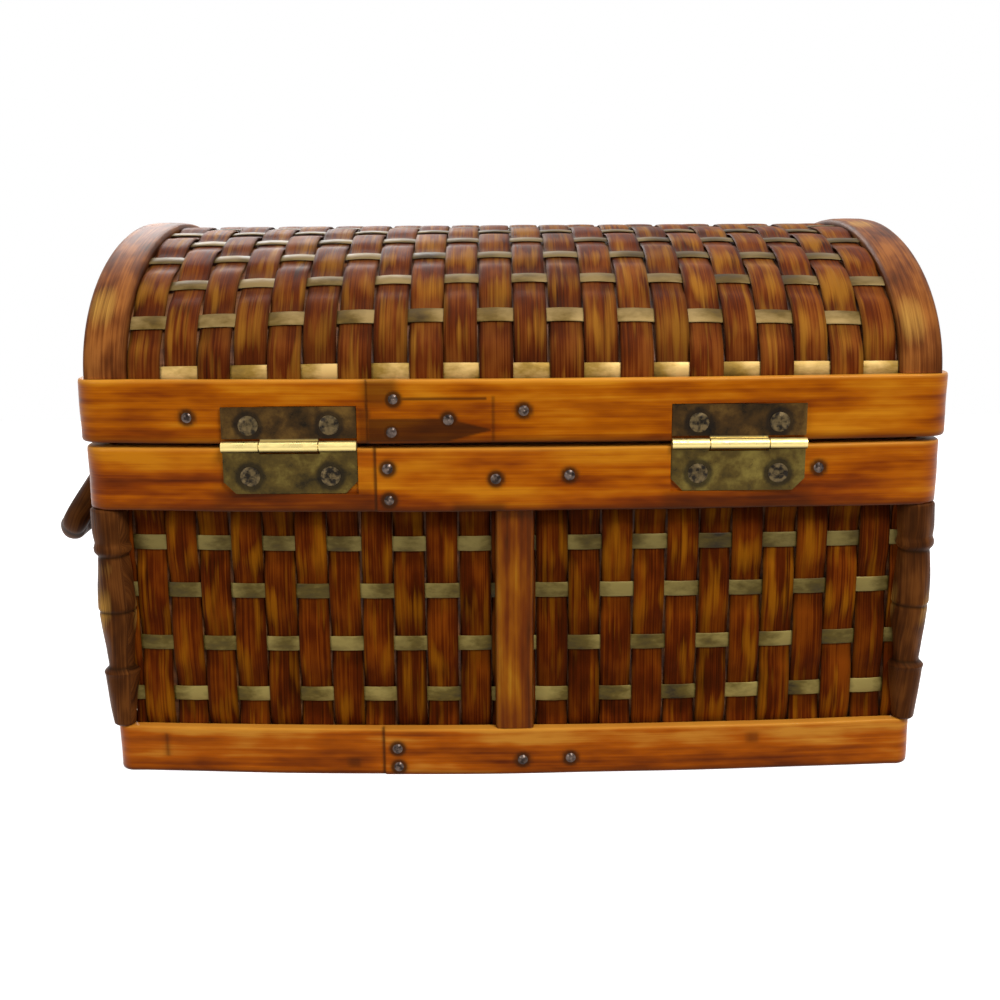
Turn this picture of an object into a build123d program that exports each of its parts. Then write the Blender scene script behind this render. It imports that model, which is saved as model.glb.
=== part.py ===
from build123d import *
import math
import os

# Dome-topped keepsake chest of woven bamboo. Millimetres, +Z up, the front faces -Y and the
# hinges are at +Y. The origin is on the floor under the middle of the chest.
os.makedirs("parts", exist_ok=True)

# Plan of the lid's outer band: front and back bow outward, the sides are straight
lid_width = 250.0
lid_depth = 176.0
face_bow = 4.5
corner_radius = 8.0
body_side_step = 1.3

# Heights, from the floor up: base band, woven panel, body rim, seam, lid band and dome
base_band_height = 14.6
panel_height = 67.4
body_rim_height = 18.4
seam_gap = 0.7
lid_band_height = 18.0
arch_sink = 1.0
arch_rise = 41.4

# Thicknesses, outside to inside
body_rim_thickness = 6.1
base_band_thickness = 3.0
lid_band_thickness = 2.4
lid_side_band_thickness = 3.1
liner_thickness = 2.4
inner_rim_thickness = 2.5
lid_inner_rim_thickness = 4.4
inner_rim_height = 17.0
base_board_thickness = 3.5
liner_lift = 1.0
lap_step = 0.5
lap_taper = 60.0
body_rim_lap_x = 39.0
lid_lap_x = 41.0
base_lap_x = 39.0

# Weave: vertical slats pass in and out of straight brass strips
slat_thickness = 0.8
strip_thickness = 0.4
strip_width = 4.4
weave_clearance = 0.05
weave_play = 0.08
crossing_half = 3.0
slat_gap = 0.25
body_columns = 24
body_pitch = 9.4
side_columns = 16
side_pitch = 9.2
weave_tuck = 8.0
first_row_drop = 11.1
last_row_rise = 10.1
body_rows = 4
dome_columns = 22
dome_rows = 14
dome_first_row = 2.0
dome_pitch = 9.95
end_columns = 18
end_pitch = 9.2
end_rows = 3
end_row_pitch = 15.4
end_row_sink = 2.0

# Wide bent hoops at the two ends of the dome
hoop_width = 12.3
hoop_stand = 1.6
hoop_side = 121.9

# Corner posts of bamboo root: share of the panel's height and radius, bottom to top
post_seat = 5.6
post_profile = [(0.0, 3.2), (0.111, 4.0), (0.215, 5.0), (0.252, 5.2), (0.289, 3.7), (0.371, 4.2),
                (0.46, 5.0), (0.556, 5.5), (0.653, 5.2), (0.779, 4.6), (0.809, 5.6), (0.89, 5.4),
                (1.0, 5.3)]
batten_width = 11.5
batten_thickness = 3.0

# Butt hinges on the back
hinge_x = 63.5
hinge_length = 38.0
knuckle_length = 16.4
knuckle_gap = 0.35
knuckle_radius = 1.6
pin_radius = 0.8
pin_clearance = 0.05
leaf_thickness = 0.8
lid_leaf_height = 11.2
body_leaf_height = 13.6
leaf_start = 2.2
leaf_corner = 3.4
axis_inset = 0.25
seat_clearance = 0.15
screw_head_radius = 2.8
screw_head_height = 0.7
screw_radius = 1.0
body_screw_length = 6.0
lid_screw_length = 2.0
screw_spacing = 22.8
lid_screw_rise = 6.0
body_screw_drop = 8.6
fastener_clearance = 0.04

# Nails through the bands: places along the back, as x and the height in their own band
nail_head_radius = 1.5
nail_head_height = 0.8
nail_head_sink = 0.2
nail_radius = 0.6
lid_nail_length = 2.2
body_nail_length = 5.9
base_nail_length = 2.8
lid_nails = [(92.4, 7.4), (33.9, 12.6), (34.5, 3.2), (18.5, 6.7), (-2.6, 9.2)]
body_rim_nails = [(35.9, 12.6), (35.6, 3.5), (5.3, 9.5), (-15.6, 10.4), (-86.8, 11.5)]
base_nails = [(35.3, 8.4), (35.0, 2.6), (-2.2, 4.6), (-16.6, 5.0)]
front_nails = [-92.0, -34.0, 34.0, 92.0]
front_nail_drop = 6.0

# Side handles: bails of bamboo root on two pins
bail_span = 90.0
bail_drop = 27.0
bail_radius = 4.25
bail_bend = 7.0
bail_wall_gap = 0.45
bail_rise = 6.0
bail_tilt = 34.0
lug_thickness = 3.5
lug_height = 9.0
lug_gap = 0.4
lug_stand = 9.2
handle_pin_radius = 1.5

# Knob on the front of the lid
knob_radius = 5.0
knob_neck_radius = 2.4
knob_length = 9.0
knob_shank_radius = 1.4
knob_shank_length = 2.5
bore_length = 40.0

# Worked-out values
half_width = lid_width / 2
half_depth = lid_depth / 2
base_band_top = base_band_height
body_rim_bottom = base_band_top + panel_height
body_rim_top = body_rim_bottom + body_rim_height
seam_height = body_rim_top + seam_gap
lid_band_bottom = seam_height + seam_gap
lid_band_top = lid_band_bottom + lid_band_height
arch_spring = lid_band_top - arch_sink
bail_height = body_rim_bottom + bail_rise
knob_height = lid_band_bottom + lid_band_height / 2
row_pitch = (panel_height - first_row_drop - last_row_rise) / (body_rows - 1)
bow_reach = body_columns * body_pitch / 2
weave_shift = (slat_thickness + strip_thickness) / 2 + weave_clearance
weave_half = weave_shift + slat_thickness / 2
lid_weave_outer = 3.0
lid_weave_middle = lid_weave_outer + weave_half
body_weave_middle = body_rim_thickness + weave_play + weave_half
base_band_inset = body_rim_thickness - base_band_thickness
body_liner_outer = body_weave_middle + weave_half + weave_play
body_liner_inner = body_liner_outer + liner_thickness
inner_rim_inner = body_liner_inner + inner_rim_thickness
lid_liner_inner = lid_weave_middle + weave_half + weave_play + liner_thickness
arch_reach = half_depth - lid_weave_middle
hinge_y = half_depth + face_bow - axis_inset
hinge_z = seam_height
leaf_seat_y = hinge_y - knuckle_radius
handle_x = half_width - body_side_step + bail_wall_gap + bail_radius


def bow_at(x):
    """How far the front or back stands out at x, past its corners."""
    return face_bow * max(0.0, 1 - (x / bow_reach) ** 2)


def stations(count, pitch):
    """Edges of a row of slats along X, from -X to +X."""
    return [(i - count / 2) * pitch for i in range(count + 1)]


def lap_extra(x, lap_x):
    """Extra thickness of a band past its lap, fading towards -X."""
    if lap_x is None or x > lap_x:
        return 0.0
    return lap_step * max(0.0, 1 - (lap_x - x) / lap_taper)


def plan_outline(inset, side_inset, lap_x=None):
    """Closed plan of a layer: bowed front and back, straight sides, round corners."""
    radius = max(corner_radius - inset, 0.6)
    across = half_width - side_inset
    deep = half_depth - inset
    back = []
    for x in stations(body_columns, body_pitch):
        back.append((x, deep + bow_at(x) + lap_extra(x, lap_x)))
    if lap_x is not None:
        later = [p for p in back if p[0] > lap_x]
        earlier = [p for p in back if p[0] <= lap_x]
        step = [(lap_x, deep + bow_at(lap_x) + lap_step), (lap_x, deep + bow_at(lap_x))]
        back = earlier + step + later
    corner = []
    for degrees in (75, 60, 45, 30, 15, 0):
        a = math.radians(degrees)
        corner.append((across - radius + radius * math.cos(a), deep - radius + radius * math.sin(a)))
    front = [(x, -deep - bow_at(x)) for x in stations(body_columns, body_pitch)]
    right_back = corner
    right_front = [(x, -y) for x, y in reversed(corner)]
    left_front = [(-x, -y) for x, y in corner]
    left_back = [(-x, y) for x, y in reversed(corner)]
    return back + right_back + right_front + list(reversed(front)) + left_front + left_back


def prism(points, low, high):
    """Solid between two heights over a closed plan."""
    face = make_face(Polyline(*points, close=True))
    return Pos(0, 0, low) * extrude(face, high - low, dir=(0, 0, 1))


def ring(outer, inner, low, high):
    """Band between two closed plans."""
    return prism(outer, low, high) - prism(inner, low - 1, high + 1)


def block(x0, x1, y0, y1, z0, z1):
    """Box between two corners."""
    return Pos((x0 + x1) / 2, (y0 + y1) / 2, (z0 + z1) / 2) * Box(x1 - x0, y1 - y0, z1 - z0)


def side_prism(points, x0, x1):
    """Solid between two values of x over a closed outline of (y, z) points."""
    face = make_face(Polyline(*[(x0, y, z) for y, z in points], close=True))
    return extrude(face, x1 - x0, dir=(1, 0, 0))


def save(name, shape):
    """Write one node, as one solid or as a group of separate solids."""
    solids = list(shape.solids()) if hasattr(shape, "solids") else []
    whole = solids[0] if len(solids) == 1 else Compound(children=solids)
    export_step(whole, f"parts/{name}.step")
    print(name, len(solids))


def group(shapes):
    """Separate solids kept in one node."""
    solids = []
    for shape in shapes:
        solids.extend(shape.solids())
    return Compound(children=solids)


def slat_wave(heights, front_of, low, high):
    """Centre line of a flat wall's slat: (offset, height) points, out or in at each strip."""
    points = [(weave_shift if front_of(0) else -weave_shift, high)]
    for k, z in enumerate(heights):
        shift = weave_shift if front_of(k) else -weave_shift
        points.append((shift, z + crossing_half))
        points.append((shift, z - crossing_half))
    points.append((points[-1][0], low))
    return points


def thick_outline(points, thickness):
    """Closed outline round a centre line of (offset, height) points."""
    outer = [(t + thickness / 2, z) for t, z in points]
    inner = [(t - thickness / 2, z) for t, z in reversed(points)]
    return outer + inner


body_heights = [body_rim_bottom - first_row_drop - k * row_pitch for k in range(body_rows)]
panel_low = base_band_top - weave_tuck
panel_high = body_rim_bottom + weave_tuck


def wall_slats(count, pitch, place):
    """Slats of a flat wall; place(i) gives the location of slat i's foot."""
    slats = []
    for i in range(count):
        odd_row = i % 2
        wave = slat_wave(body_heights, lambda k: (k + odd_row) % 2 == 0, panel_low, panel_high)
        outline = thick_outline(wave, slat_thickness)
        half = (pitch - slat_gap) / 2
        slats.append(place(i) * side_prism(outline, -half, half))
    return group(slats)


def long_wall_place(sign):
    """Places for the slats of the back (sign 1) or the front (sign -1)."""
    edges = stations(body_columns, body_pitch)
    middle = half_depth - body_weave_middle

    def place(i):
        x0, x1 = edges[i], edges[i + 1]
        y0, y1 = middle + bow_at(x0), middle + bow_at(x1)
        turn = math.degrees(math.atan2(y1 - y0, x1 - x0))
        if sign > 0:
            return Pos((x0 + x1) / 2, (y0 + y1) / 2, 0) * Rot(0, 0, turn)
        return Pos(-(x0 + x1) / 2, -(y0 + y1) / 2, 0) * Rot(0, 0, turn + 180)

    return place


def side_wall_place(sign):
    """Places for the slats of the right (sign 1) or left (sign -1) side."""
    middle = half_width - body_side_step - body_weave_middle
    edges = stations(side_columns, side_pitch)

    def place(i):
        y = (edges[i] + edges[i + 1]) / 2
        if sign > 0:
            return Pos(middle, -y, 0) * Rot(0, 0, -90)
        return Pos(-middle, y, 0) * Rot(0, 0, 90)

    return place


def long_wall_strips(sign):
    """Brass strips of the back or front, bent along the wall's bow."""
    middle = half_depth - body_weave_middle
    edges = stations(body_columns, body_pitch)
    outer = [(x, sign * (middle + strip_thickness / 2 + bow_at(x))) for x in edges]
    inner = [(x, sign * (middle - strip_thickness / 2 + bow_at(x))) for x in reversed(edges)]
    half = strip_width / 2
    return group([prism(outer + inner, z - half, z + half) for z in body_heights])


def side_wall_strips(sign):
    """Brass strips of a side wall, straight."""
    middle = half_width - body_side_step - body_weave_middle
    reach = side_columns * side_pitch / 2
    t = strip_thickness / 2
    half = strip_width / 2
    x0, x1 = sorted((sign * (middle - t), sign * (middle + t)))
    return group([block(x0, x1, -reach, reach, z - half, z + half) for z in body_heights])


# Body walls
for name, sign in (("back", 1), ("front", -1)):
    save(f"{name}_slats", wall_slats(body_columns, body_pitch, long_wall_place(sign)))
    save(f"{name}_strips", long_wall_strips(sign))
for name, sign in (("right", 1), ("left", -1)):
    save(f"{name}_slats", wall_slats(side_columns, side_pitch, side_wall_place(sign)))
    save(f"{name}_strips", side_wall_strips(sign))

# Liner boards behind the weave: long boards run past the short ones
liner_x = half_width - body_side_step - body_liner_outer
for name, sign in (("back", 1), ("front", -1)):
    xs = [-liner_x] + stations(body_columns, body_pitch) + [liner_x]
    outer = [(x, sign * (half_depth - body_liner_outer + bow_at(x))) for x in xs]
    inner = [(x, sign * (half_depth - body_liner_inner + bow_at(x))) for x in reversed(xs)]
    save(f"{name}_liner", prism(outer + inner, liner_lift, seam_height))
liner_y = half_depth - body_liner_inner
for name, sign in (("right", 1), ("left", -1)):
    x0, x1 = sorted((sign * (liner_x - liner_thickness), sign * liner_x))
    save(f"{name}_liner", block(x0, x1, -liner_y, liner_y, liner_lift, seam_height))

inner_plan = plan_outline(body_liner_inner, body_liner_inner + body_side_step)
hole_plan = plan_outline(inner_rim_inner, inner_rim_inner + body_side_step)
save("inner_rim", ring(inner_plan, hole_plan, seam_height - inner_rim_height, seam_height))
save("base_board", prism(inner_plan, 0.0, base_board_thickness))


def fastener(head_radius, head_height, shank_radius, length, extra=0.0):
    """Round-headed nail or screw on the Y axis: head towards +Y, its seat at y = 0."""
    r, h, s = head_radius + extra, head_height + extra, shank_radius + extra
    points = [(0, h), (r * 0.62, h * 0.72), (r, h * 0.2), (r, -extra), (s, -extra)]
    points += [(s, -length - extra), (0, -length - extra)]
    return revolve(make_face(Polyline(*points, close=True)), Axis.Y)


def face_y(x, inset, lap_x=None):
    """y of a band's outer face at x, at the back."""
    return half_depth - inset + bow_at(x) + lap_extra(x, lap_x)


def nail_places(back, low, high, inset, lap_x):
    """Locations of a band's nails: the photographed ones at the back, four at the front."""
    places = [Pos(x, face_y(x, inset, lap_x) - nail_head_sink, low + rise) for x, rise in back]
    for x in front_nails:
        place = Pos(x, -face_y(x, inset) + nail_head_sink, high - front_nail_drop)
        places.append(place * Rot(0, 0, 180))
    return places


def nails(places, length):
    """The nails of one band."""
    return group([p * fastener(nail_head_radius, nail_head_height, nail_radius, length) for p in places])


def bored(shape, places, head_radius, head_height, shank_radius, length):
    """A piece with clearance holes for its nails or screws."""
    for place in places:
        tool = fastener(head_radius, head_height, shank_radius, length, fastener_clearance)
        shape = shape - place * tool
    return shape


def nailed(shape, places, length):
    """A piece with clearance holes for nails."""
    return bored(shape, places, nail_head_radius, nail_head_height, nail_radius, length)


rim_nail_places = nail_places(body_rim_nails, body_rim_bottom, body_rim_top, 0.0, body_rim_lap_x)
base_nail_places = nail_places(base_nails, 0.0, base_band_top, base_band_inset, base_lap_x)
lid_nail_places = nail_places(lid_nails, lid_band_bottom, lid_band_top, 0.0, lid_lap_x)

hinge_centres = (-hinge_x, hinge_x)


def screw_places(z):
    """Screw seats on the hinge leaves at one height."""
    y = leaf_seat_y + leaf_thickness
    return [Pos(x + side * screw_spacing / 2, y, z) for x in hinge_centres for side in (-1, 1)]


lid_screw_places = screw_places(hinge_z + lid_screw_rise)
body_screw_places = screw_places(hinge_z - body_screw_drop)


def screwed(shape, places, length):
    """A piece with clearance holes for hinge screws."""
    return bored(shape, places, screw_head_radius, screw_head_height, screw_radius, length)


def leaf_seats(shape, low, high):
    """Cut the flat seats that the hinge leaves lie in."""
    half = hinge_length / 2 + seat_clearance
    for x in hinge_centres:
        shape = shape - block(x - half, x + half, leaf_seat_y, leaf_seat_y + 8, low, high)
    return shape


# Bands of the body
rim_outer = plan_outline(0.0, body_side_step, body_rim_lap_x)
rim_inner = plan_outline(body_rim_thickness, body_rim_thickness + body_side_step)
rim = ring(rim_outer, rim_inner, body_rim_bottom, body_rim_top)
rim = leaf_seats(rim, hinge_z - body_leaf_height - seat_clearance, body_rim_top + 1)
rim = screwed(nailed(rim, rim_nail_places, body_nail_length), body_screw_places, body_screw_length)
base_outer = plan_outline(base_band_inset, base_band_inset + body_side_step, base_lap_x)
base = nailed(ring(base_outer, rim_inner, 0.0, base_band_top), base_nail_places, base_nail_length)
save("base_band", base)
save("body_rim_nails", nails(rim_nail_places, body_nail_length))
save("base_nails", nails(base_nail_places, base_nail_length))

# Batten over the middle of the back weave
batten_face = half_depth - body_rim_thickness + face_bow + 0.3
batten = block(-batten_width / 2, batten_width / 2, batten_face, batten_face + batten_thickness,
               base_band_top, body_rim_bottom)
save("centre_batten", batten)

# Corner posts, each cut to sit round the corner of the walls
post_x = half_width - body_side_step - post_seat
post_y = half_depth - post_seat
corner_cut_x = half_width - body_side_step - body_liner_outer + weave_play
corner_cut_y = half_depth - body_liner_outer + weave_play
post_points = [(0, base_band_top)]
post_points += [(r, base_band_top + share * panel_height) for share, r in post_profile]
post_points += [(0, body_rim_bottom)]
post_turned = revolve(make_face(Polyline(*[(r, 0, z) for r, z in post_points], close=True)), Axis.Z)
for front_back, sy in (("back", 1), ("front", -1)):
    for left_right, sx in (("right", 1), ("left", -1)):
        post = Pos(sx * post_x, sy * post_y, 0) * post_turned
        x0, x1 = sorted((0, sx * corner_cut_x))
        y0, y1 = sorted((0, sy * corner_cut_y))
        post = post - block(x0, x1, y0, y1, 0, lid_band_bottom)
        edge = bow_reach + weave_play
        x0, x1 = sorted((0, sx * edge))
        y0, y1 = sorted((0, sy * (half_depth - body_rim_thickness + weave_play)))
        post = post - block(x0, x1, y0, y1, 0, lid_band_bottom)
        side_edge = side_columns * side_pitch / 2 + weave_play
        x0, x1 = sorted((0, sx * (half_width - body_side_step - body_rim_thickness + weave_play)))
        y0, y1 = sorted((0, sy * side_edge))
        post = post - block(x0, x1, y0, y1, 0, lid_band_bottom)
        save(f"post_{front_back}_{left_right}", post)


def knuckle(x0, x1, hole_radius):
    """Rolled tube of a hinge leaf between two values of x."""
    length = x1 - x0
    middle = Pos((x0 + x1) / 2, hinge_y, hinge_z) * Rot(0, 90, 0)
    return middle * Cylinder(knuckle_radius, length) - middle * Cylinder(hole_radius, length + 2)


def hinge_leaf(x, part):
    """One leaf with its knuckles: part is lid for the upper one and body for the lower."""
    half = hinge_length / 2
    inner = knuckle_length / 2
    y0, y1 = leaf_seat_y, leaf_seat_y + leaf_thickness
    if part == "lid":
        low, high = hinge_z + leaf_start, hinge_z + lid_leaf_height
        plate = block(x - half, x + half, y0, y1, low, high)
        tabs = [(x - inner, x + inner)]
        tab_low, tab_high, hole = hinge_z, low, pin_radius + pin_clearance
    else:
        low, high = hinge_z - body_leaf_height, hinge_z - leaf_start
        corners = [(x - half, high), (x + half, high), (x + half, low + leaf_corner),
                   (x + half - leaf_corner, low), (x - half + leaf_corner, low),
                   (x - half, low + leaf_corner)]
        face = make_face(Polyline(*[(u, y0, v) for u, v in corners], close=True))
        plate = extrude(face, y1 - y0, dir=(0, 1, 0))
        outer = inner + knuckle_gap
        tabs = [(x - half, x - outer), (x + outer, x + half)]
        tab_low, tab_high, hole = high, hinge_z, pin_radius + fastener_clearance
    leaf = plate
    for a, b in tabs:
        leaf = leaf + block(a, b, y0, y1, tab_low, tab_high)
        pin_space = Pos((a + b) / 2, hinge_y, hinge_z) * Rot(0, 90, 0) * Cylinder(hole, b - a + 2)
        leaf = leaf + knuckle(a, b, hole) - pin_space
    return leaf


for side, x in (("left", -hinge_x), ("right", hinge_x)):
    save(f"lid_leaf_{side}", screwed(hinge_leaf(x, "lid"), lid_screw_places, lid_screw_length))
    save(f"body_leaf_{side}", screwed(hinge_leaf(x, "body"), body_screw_places, body_screw_length))
    along = Pos(x, hinge_y, hinge_z) * Rot(0, 90, 0)
    save(f"hinge_pin_{side}", along * Cylinder(pin_radius, hinge_length))


def screws(places, length):
    """Hinge screws with a cross slot in each head."""
    made = []
    for place in places:
        screw = fastener(screw_head_radius, screw_head_height, screw_radius, length)
        reach = screw_head_radius * 0.62
        for turn in (0, 90):
            slot = Pos(0, screw_head_height, 0) * Rot(0, turn, 0) * Box(2 * reach, 0.7, 0.6)
            screw = screw - slot
        made.append(place * screw)
    return group(made)


save("lid_hinge_screws", screws(lid_screw_places, lid_screw_length))
save("body_hinge_screws", screws(body_screw_places, body_screw_length))

# The arch of the dome, as an ellipse on straight legs, walked by its length
arch_samples = 4000
arch_line = []
walked = 0.0
for i in range(arch_samples + 1):
    a = math.pi * i / arch_samples
    point = (arch_reach * math.cos(a), arch_spring + arch_rise * math.sin(a))
    if arch_line:
        walked += math.dist(point, arch_line[-1][1])
    arch_line.append((walked, point))
arch_length = walked
dome_row_pitch = (arch_length - 2 * dome_first_row) / (dome_rows - 1)


def arch_frame(s):
    """Point, direction and outward normal at length s along the arch, from the back."""
    if s <= 0:
        return (arch_reach, arch_spring + s), (0.0, 1.0), (1.0, 0.0)
    if s >= arch_length:
        return (-arch_reach, arch_spring - (s - arch_length)), (0.0, -1.0), (-1.0, 0.0)
    low, high = 0, arch_samples
    while high - low > 1:
        mid = (low + high) // 2
        if arch_line[mid][0] < s:
            low = mid
        else:
            high = mid
    a = math.pi * (low + high) / 2 / arch_samples
    ty, tz = -arch_reach * math.sin(a), arch_rise * math.cos(a)
    size = math.hypot(ty, tz)
    point = (arch_reach * math.cos(a), arch_spring + arch_rise * math.sin(a))
    return point, (ty / size, tz / size), (tz / size, -ty / size)


def arch_points(offset_at, bow):
    """Points over the arch, two at each strip row, offset outward by offset_at(row)."""
    points = []
    for k in range(-1, dome_rows + 1):
        (y, z), (ty, tz), (ny, nz) = arch_frame(dome_first_row + k * dome_row_pitch)
        out = offset_at(k) + bow * abs(ny)
        for along in (-crossing_half, crossing_half):
            points.append((y + along * ty + out * ny, z + along * tz + out * nz))
    return points


def arch_band(inner_at, outer_at, bow, low=None):
    """Closed (y, z) outline of a layer over the arch, its legs down to a height if given."""
    outer = arch_points(outer_at, bow)
    inner = arch_points(inner_at, bow)
    if low is not None:
        outer = [(outer[0][0], low)] + outer + [(outer[-1][0], low)]
        inner = [(inner[0][0], low)] + inner + [(inner[-1][0], low)]
    return outer + list(reversed(inner))


# Dome weave: each slat follows the bow of its own column
dome_edges = stations(dome_columns, dome_pitch)
dome_slats = []
for i in range(dome_columns):
    x0, x1 = dome_edges[i] + slat_gap / 2, dome_edges[i + 1] - slat_gap / 2
    bow = bow_at((x0 + x1) / 2)

    def shift(k, column=i):
        """Out where the strip passes inside, in where it shows."""
        return weave_shift if (k + column) % 2 == 1 else -weave_shift

    inner = lambda k: shift(k) - slat_thickness / 2
    outer = lambda k: shift(k) + slat_thickness / 2
    dome_slats.append(side_prism(arch_band(inner, outer, bow), x0, x1))
save("dome_slats", group(dome_slats))

dome_strips = []
for k in range(dome_rows):
    (y, z), (ty, tz), (ny, nz) = arch_frame(dome_first_row + k * dome_row_pitch)
    upper, lower = [], []
    for i in range(dome_columns):
        out = bow_at((dome_edges[i] + dome_edges[i + 1]) / 2) * abs(ny)
        for x in (dome_edges[i] + slat_gap / 4, dome_edges[i + 1] - slat_gap / 4):
            upper.append((x, out + strip_thickness / 2))
            lower.append((x, out - strip_thickness / 2))
    outline = upper + list(reversed(lower))
    start = (y - ty * strip_width / 2, z - tz * strip_width / 2)
    face = make_face(Polyline(*[(x, start[0] + t * ny, start[1] + t * nz) for x, t in outline], close=True))
    dome_strips.append(extrude(face, strip_width, dir=(0, ty, tz)))
save("dome_strips", group(dome_strips))

# Dome liner, stepped with the columns so that it backs each slat
liner_top = -(weave_half + weave_play)
liner_under = liner_top - liner_thickness
end_board_x = hoop_side - 2 * weave_half - weave_play
liner_end_x = end_board_x - liner_thickness
liner_columns = [(-liner_end_x, dome_edges[0], 0.0)]
for i in range(dome_columns):
    liner_columns.append((dome_edges[i], dome_edges[i + 1], bow_at((dome_edges[i] + dome_edges[i + 1]) / 2)))
liner_columns.append((dome_edges[-1], liner_end_x, 0.0))
dome_liner = None
for x0, x1, bow in liner_columns:
    outline = arch_band(lambda k: liner_under, lambda k: liner_top, bow, seam_height)
    piece = side_prism(outline, x0, x1)
    dome_liner = piece if dome_liner is None else dome_liner + piece
save("dome_liner", dome_liner)

# End boards, end weave and the two hoops
hoop_foot = lid_band_top
end_outline = arch_points(lambda k: liner_top - weave_play, 0.0)
end_outline = [(end_outline[0][0], seam_height)] + end_outline + [(end_outline[-1][0], seam_height)]
end_heights = [arch_spring - end_row_sink + k * end_row_pitch for k in range(end_rows)]
end_middle = hoop_side - weave_half
end_edges = stations(end_columns, end_pitch)
end_inset = lid_band_thickness + fastener_clearance
end_plan = plan_outline(end_inset, lid_side_band_thickness)
end_plan = prism(end_plan, lid_band_bottom, arch_spring + 2 * arch_rise)
for name, sign in (("right", 1), ("left", -1)):
    x0, x1 = sorted((sign * liner_end_x, sign * end_board_x))
    save(f"end_board_{name}", side_prism(end_outline, x0, x1))
    mould = side_prism(end_outline, -half_width, half_width) & end_plan
    slats = []
    for i in range(end_columns):
        wave = slat_wave(list(reversed(end_heights)), lambda k: (k + i) % 2 == 1,
                         lid_band_bottom + 1, arch_spring + arch_rise)
        outline = [(sign * (end_middle + t), z) for t, z in thick_outline(wave, slat_thickness)]
        y0, y1 = end_edges[i] + slat_gap / 2, end_edges[i + 1] - slat_gap / 2
        face = make_face(Polyline(*[(x, y0, z) for x, z in outline], close=True))
        slats.append(extrude(face, y1 - y0, dir=(0, 1, 0)) & mould)
    save(f"end_slats_{name}", group(slats))
    t = strip_thickness / 2
    x0, x1 = sorted((sign * (end_middle - t), sign * (end_middle + t)))
    reach = end_columns * end_pitch / 2
    half = strip_width / 2
    strips = [block(x0, x1, -reach, reach, z - half, z + half) & mould for z in end_heights]
    save(f"end_strips_{name}", group(strips))
    hoop = arch_band(lambda k: liner_top, lambda k: weave_half + hoop_stand, 0.0, hoop_foot)
    x0, x1 = sorted((sign * (hoop_side - hoop_width), sign * hoop_side))
    cut = block(-half_width, half_width, -half_depth, half_depth, 0, hoop_foot)
    save(f"hoop_{name}", side_prism(hoop, x0, x1) - cut)

# Band, inner rim and nails of the lid
lid_outer = plan_outline(0.0, 0.0, lid_lap_x)
lid_inner = plan_outline(lid_band_thickness, lid_side_band_thickness)
lid_band = ring(lid_outer, lid_inner, lid_band_bottom, lid_band_top)
lid_band = leaf_seats(lid_band, lid_band_bottom - 1, hinge_z + lid_leaf_height + seat_clearance)
lid_band = screwed(nailed(lid_band, lid_nail_places, lid_nail_length), lid_screw_places, lid_screw_length)
save("lid_nails", nails(lid_nail_places, lid_nail_length))
lid_rim_outer = plan_outline(lid_liner_inner + 0.4, half_width - liner_end_x + weave_play)
lid_rim_inner = plan_outline(lid_liner_inner + lid_inner_rim_thickness,
                             half_width - liner_end_x + lid_inner_rim_thickness)
save("lid_inner_rim", ring(lid_rim_outer, lid_rim_inner, seam_height, lid_band_top))

# Knob: a turned bead with its shank through the front of the lid band
knob_face = -face_y(0, 0)
knob_points = [(0, -knob_length), (knob_radius * 0.7, -knob_length * 0.93), (knob_radius, -knob_length * 0.7),
               (knob_radius * 0.85, -knob_length * 0.42), (knob_neck_radius, -knob_length * 0.2),
               (knob_radius * 0.8, -0.1), (knob_shank_radius, -0.1),
               (knob_shank_radius, knob_shank_length), (0, knob_shank_length)]
knob = revolve(make_face(Polyline(*knob_points, close=True)), Axis.Y)
save("lift_knob", Pos(0, knob_face, knob_height) * knob)
knob_hole_radius = knob_shank_radius + fastener_clearance
knob_hole = Pos(0, knob_face, knob_height) * Rot(90, 0, 0) * Cylinder(knob_hole_radius, bore_length)
save("lid_rim_band", lid_band - knob_hole)

# Handles: bent rods of bamboo root on pins in lugs
lug_y = bail_span / 2 + bail_radius + lug_gap


def bail():
    """Bail hanging from the Y axis: legs down, grip along Y."""
    reach = bail_span / 2
    corners = [(0, reach, 0), (0, reach, -bail_drop), (0, -reach, -bail_drop), (0, -reach, 0)]
    path = FilletPolyline(*corners, radius=bail_bend)
    rod = sweep(Plane((0, reach, 0), z_dir=(0, 0, -1)) * Circle(bail_radius), path)
    for side in (-1, 1):
        rod = rod + Pos(0, side * reach, 0) * Sphere(bail_radius)
    hole = Rot(90, 0, 0) * Cylinder(handle_pin_radius + pin_clearance, bail_span + 4 * bail_radius)
    return rod - hole


side_face = half_width - body_side_step
for name, sign, tilt in (("right", 1, bail_tilt), ("left", -1, 0.0)):
    pivot = Pos(sign * handle_x, 0, bail_height)
    save(f"handle_{name}", pivot * Rot(0, -sign * tilt, 0) * bail())
    lugs, pins = [], []
    for side in (-1, 1):
        y0, y1 = sorted((side * lug_y, side * (lug_y + lug_thickness)))
        x0, x1 = sorted((sign * side_face, sign * (side_face + lug_stand)))
        lug = block(x0, x1, y0, y1, bail_height - lug_height / 2, bail_height + lug_height / 2)
        pin_y0 = bail_span / 2 - bail_radius
        pin_y1 = lug_y + lug_thickness
        across = Pos(sign * handle_x, side * (pin_y0 + pin_y1) / 2, bail_height) * Rot(90, 0, 0)
        hole = across * Cylinder(handle_pin_radius + fastener_clearance, pin_y1 - pin_y0 + 4)
        lugs.append(lug - hole)
        pins.append(across * Cylinder(handle_pin_radius, pin_y1 - pin_y0))
    save(f"handle_lugs_{name}", group(lugs))
    save(f"handle_pins_{name}", group(pins))

save("body_rim_band", rim)
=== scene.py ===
import math

import bpy
import numpy as np
from mathutils import Matrix, Vector


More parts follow.
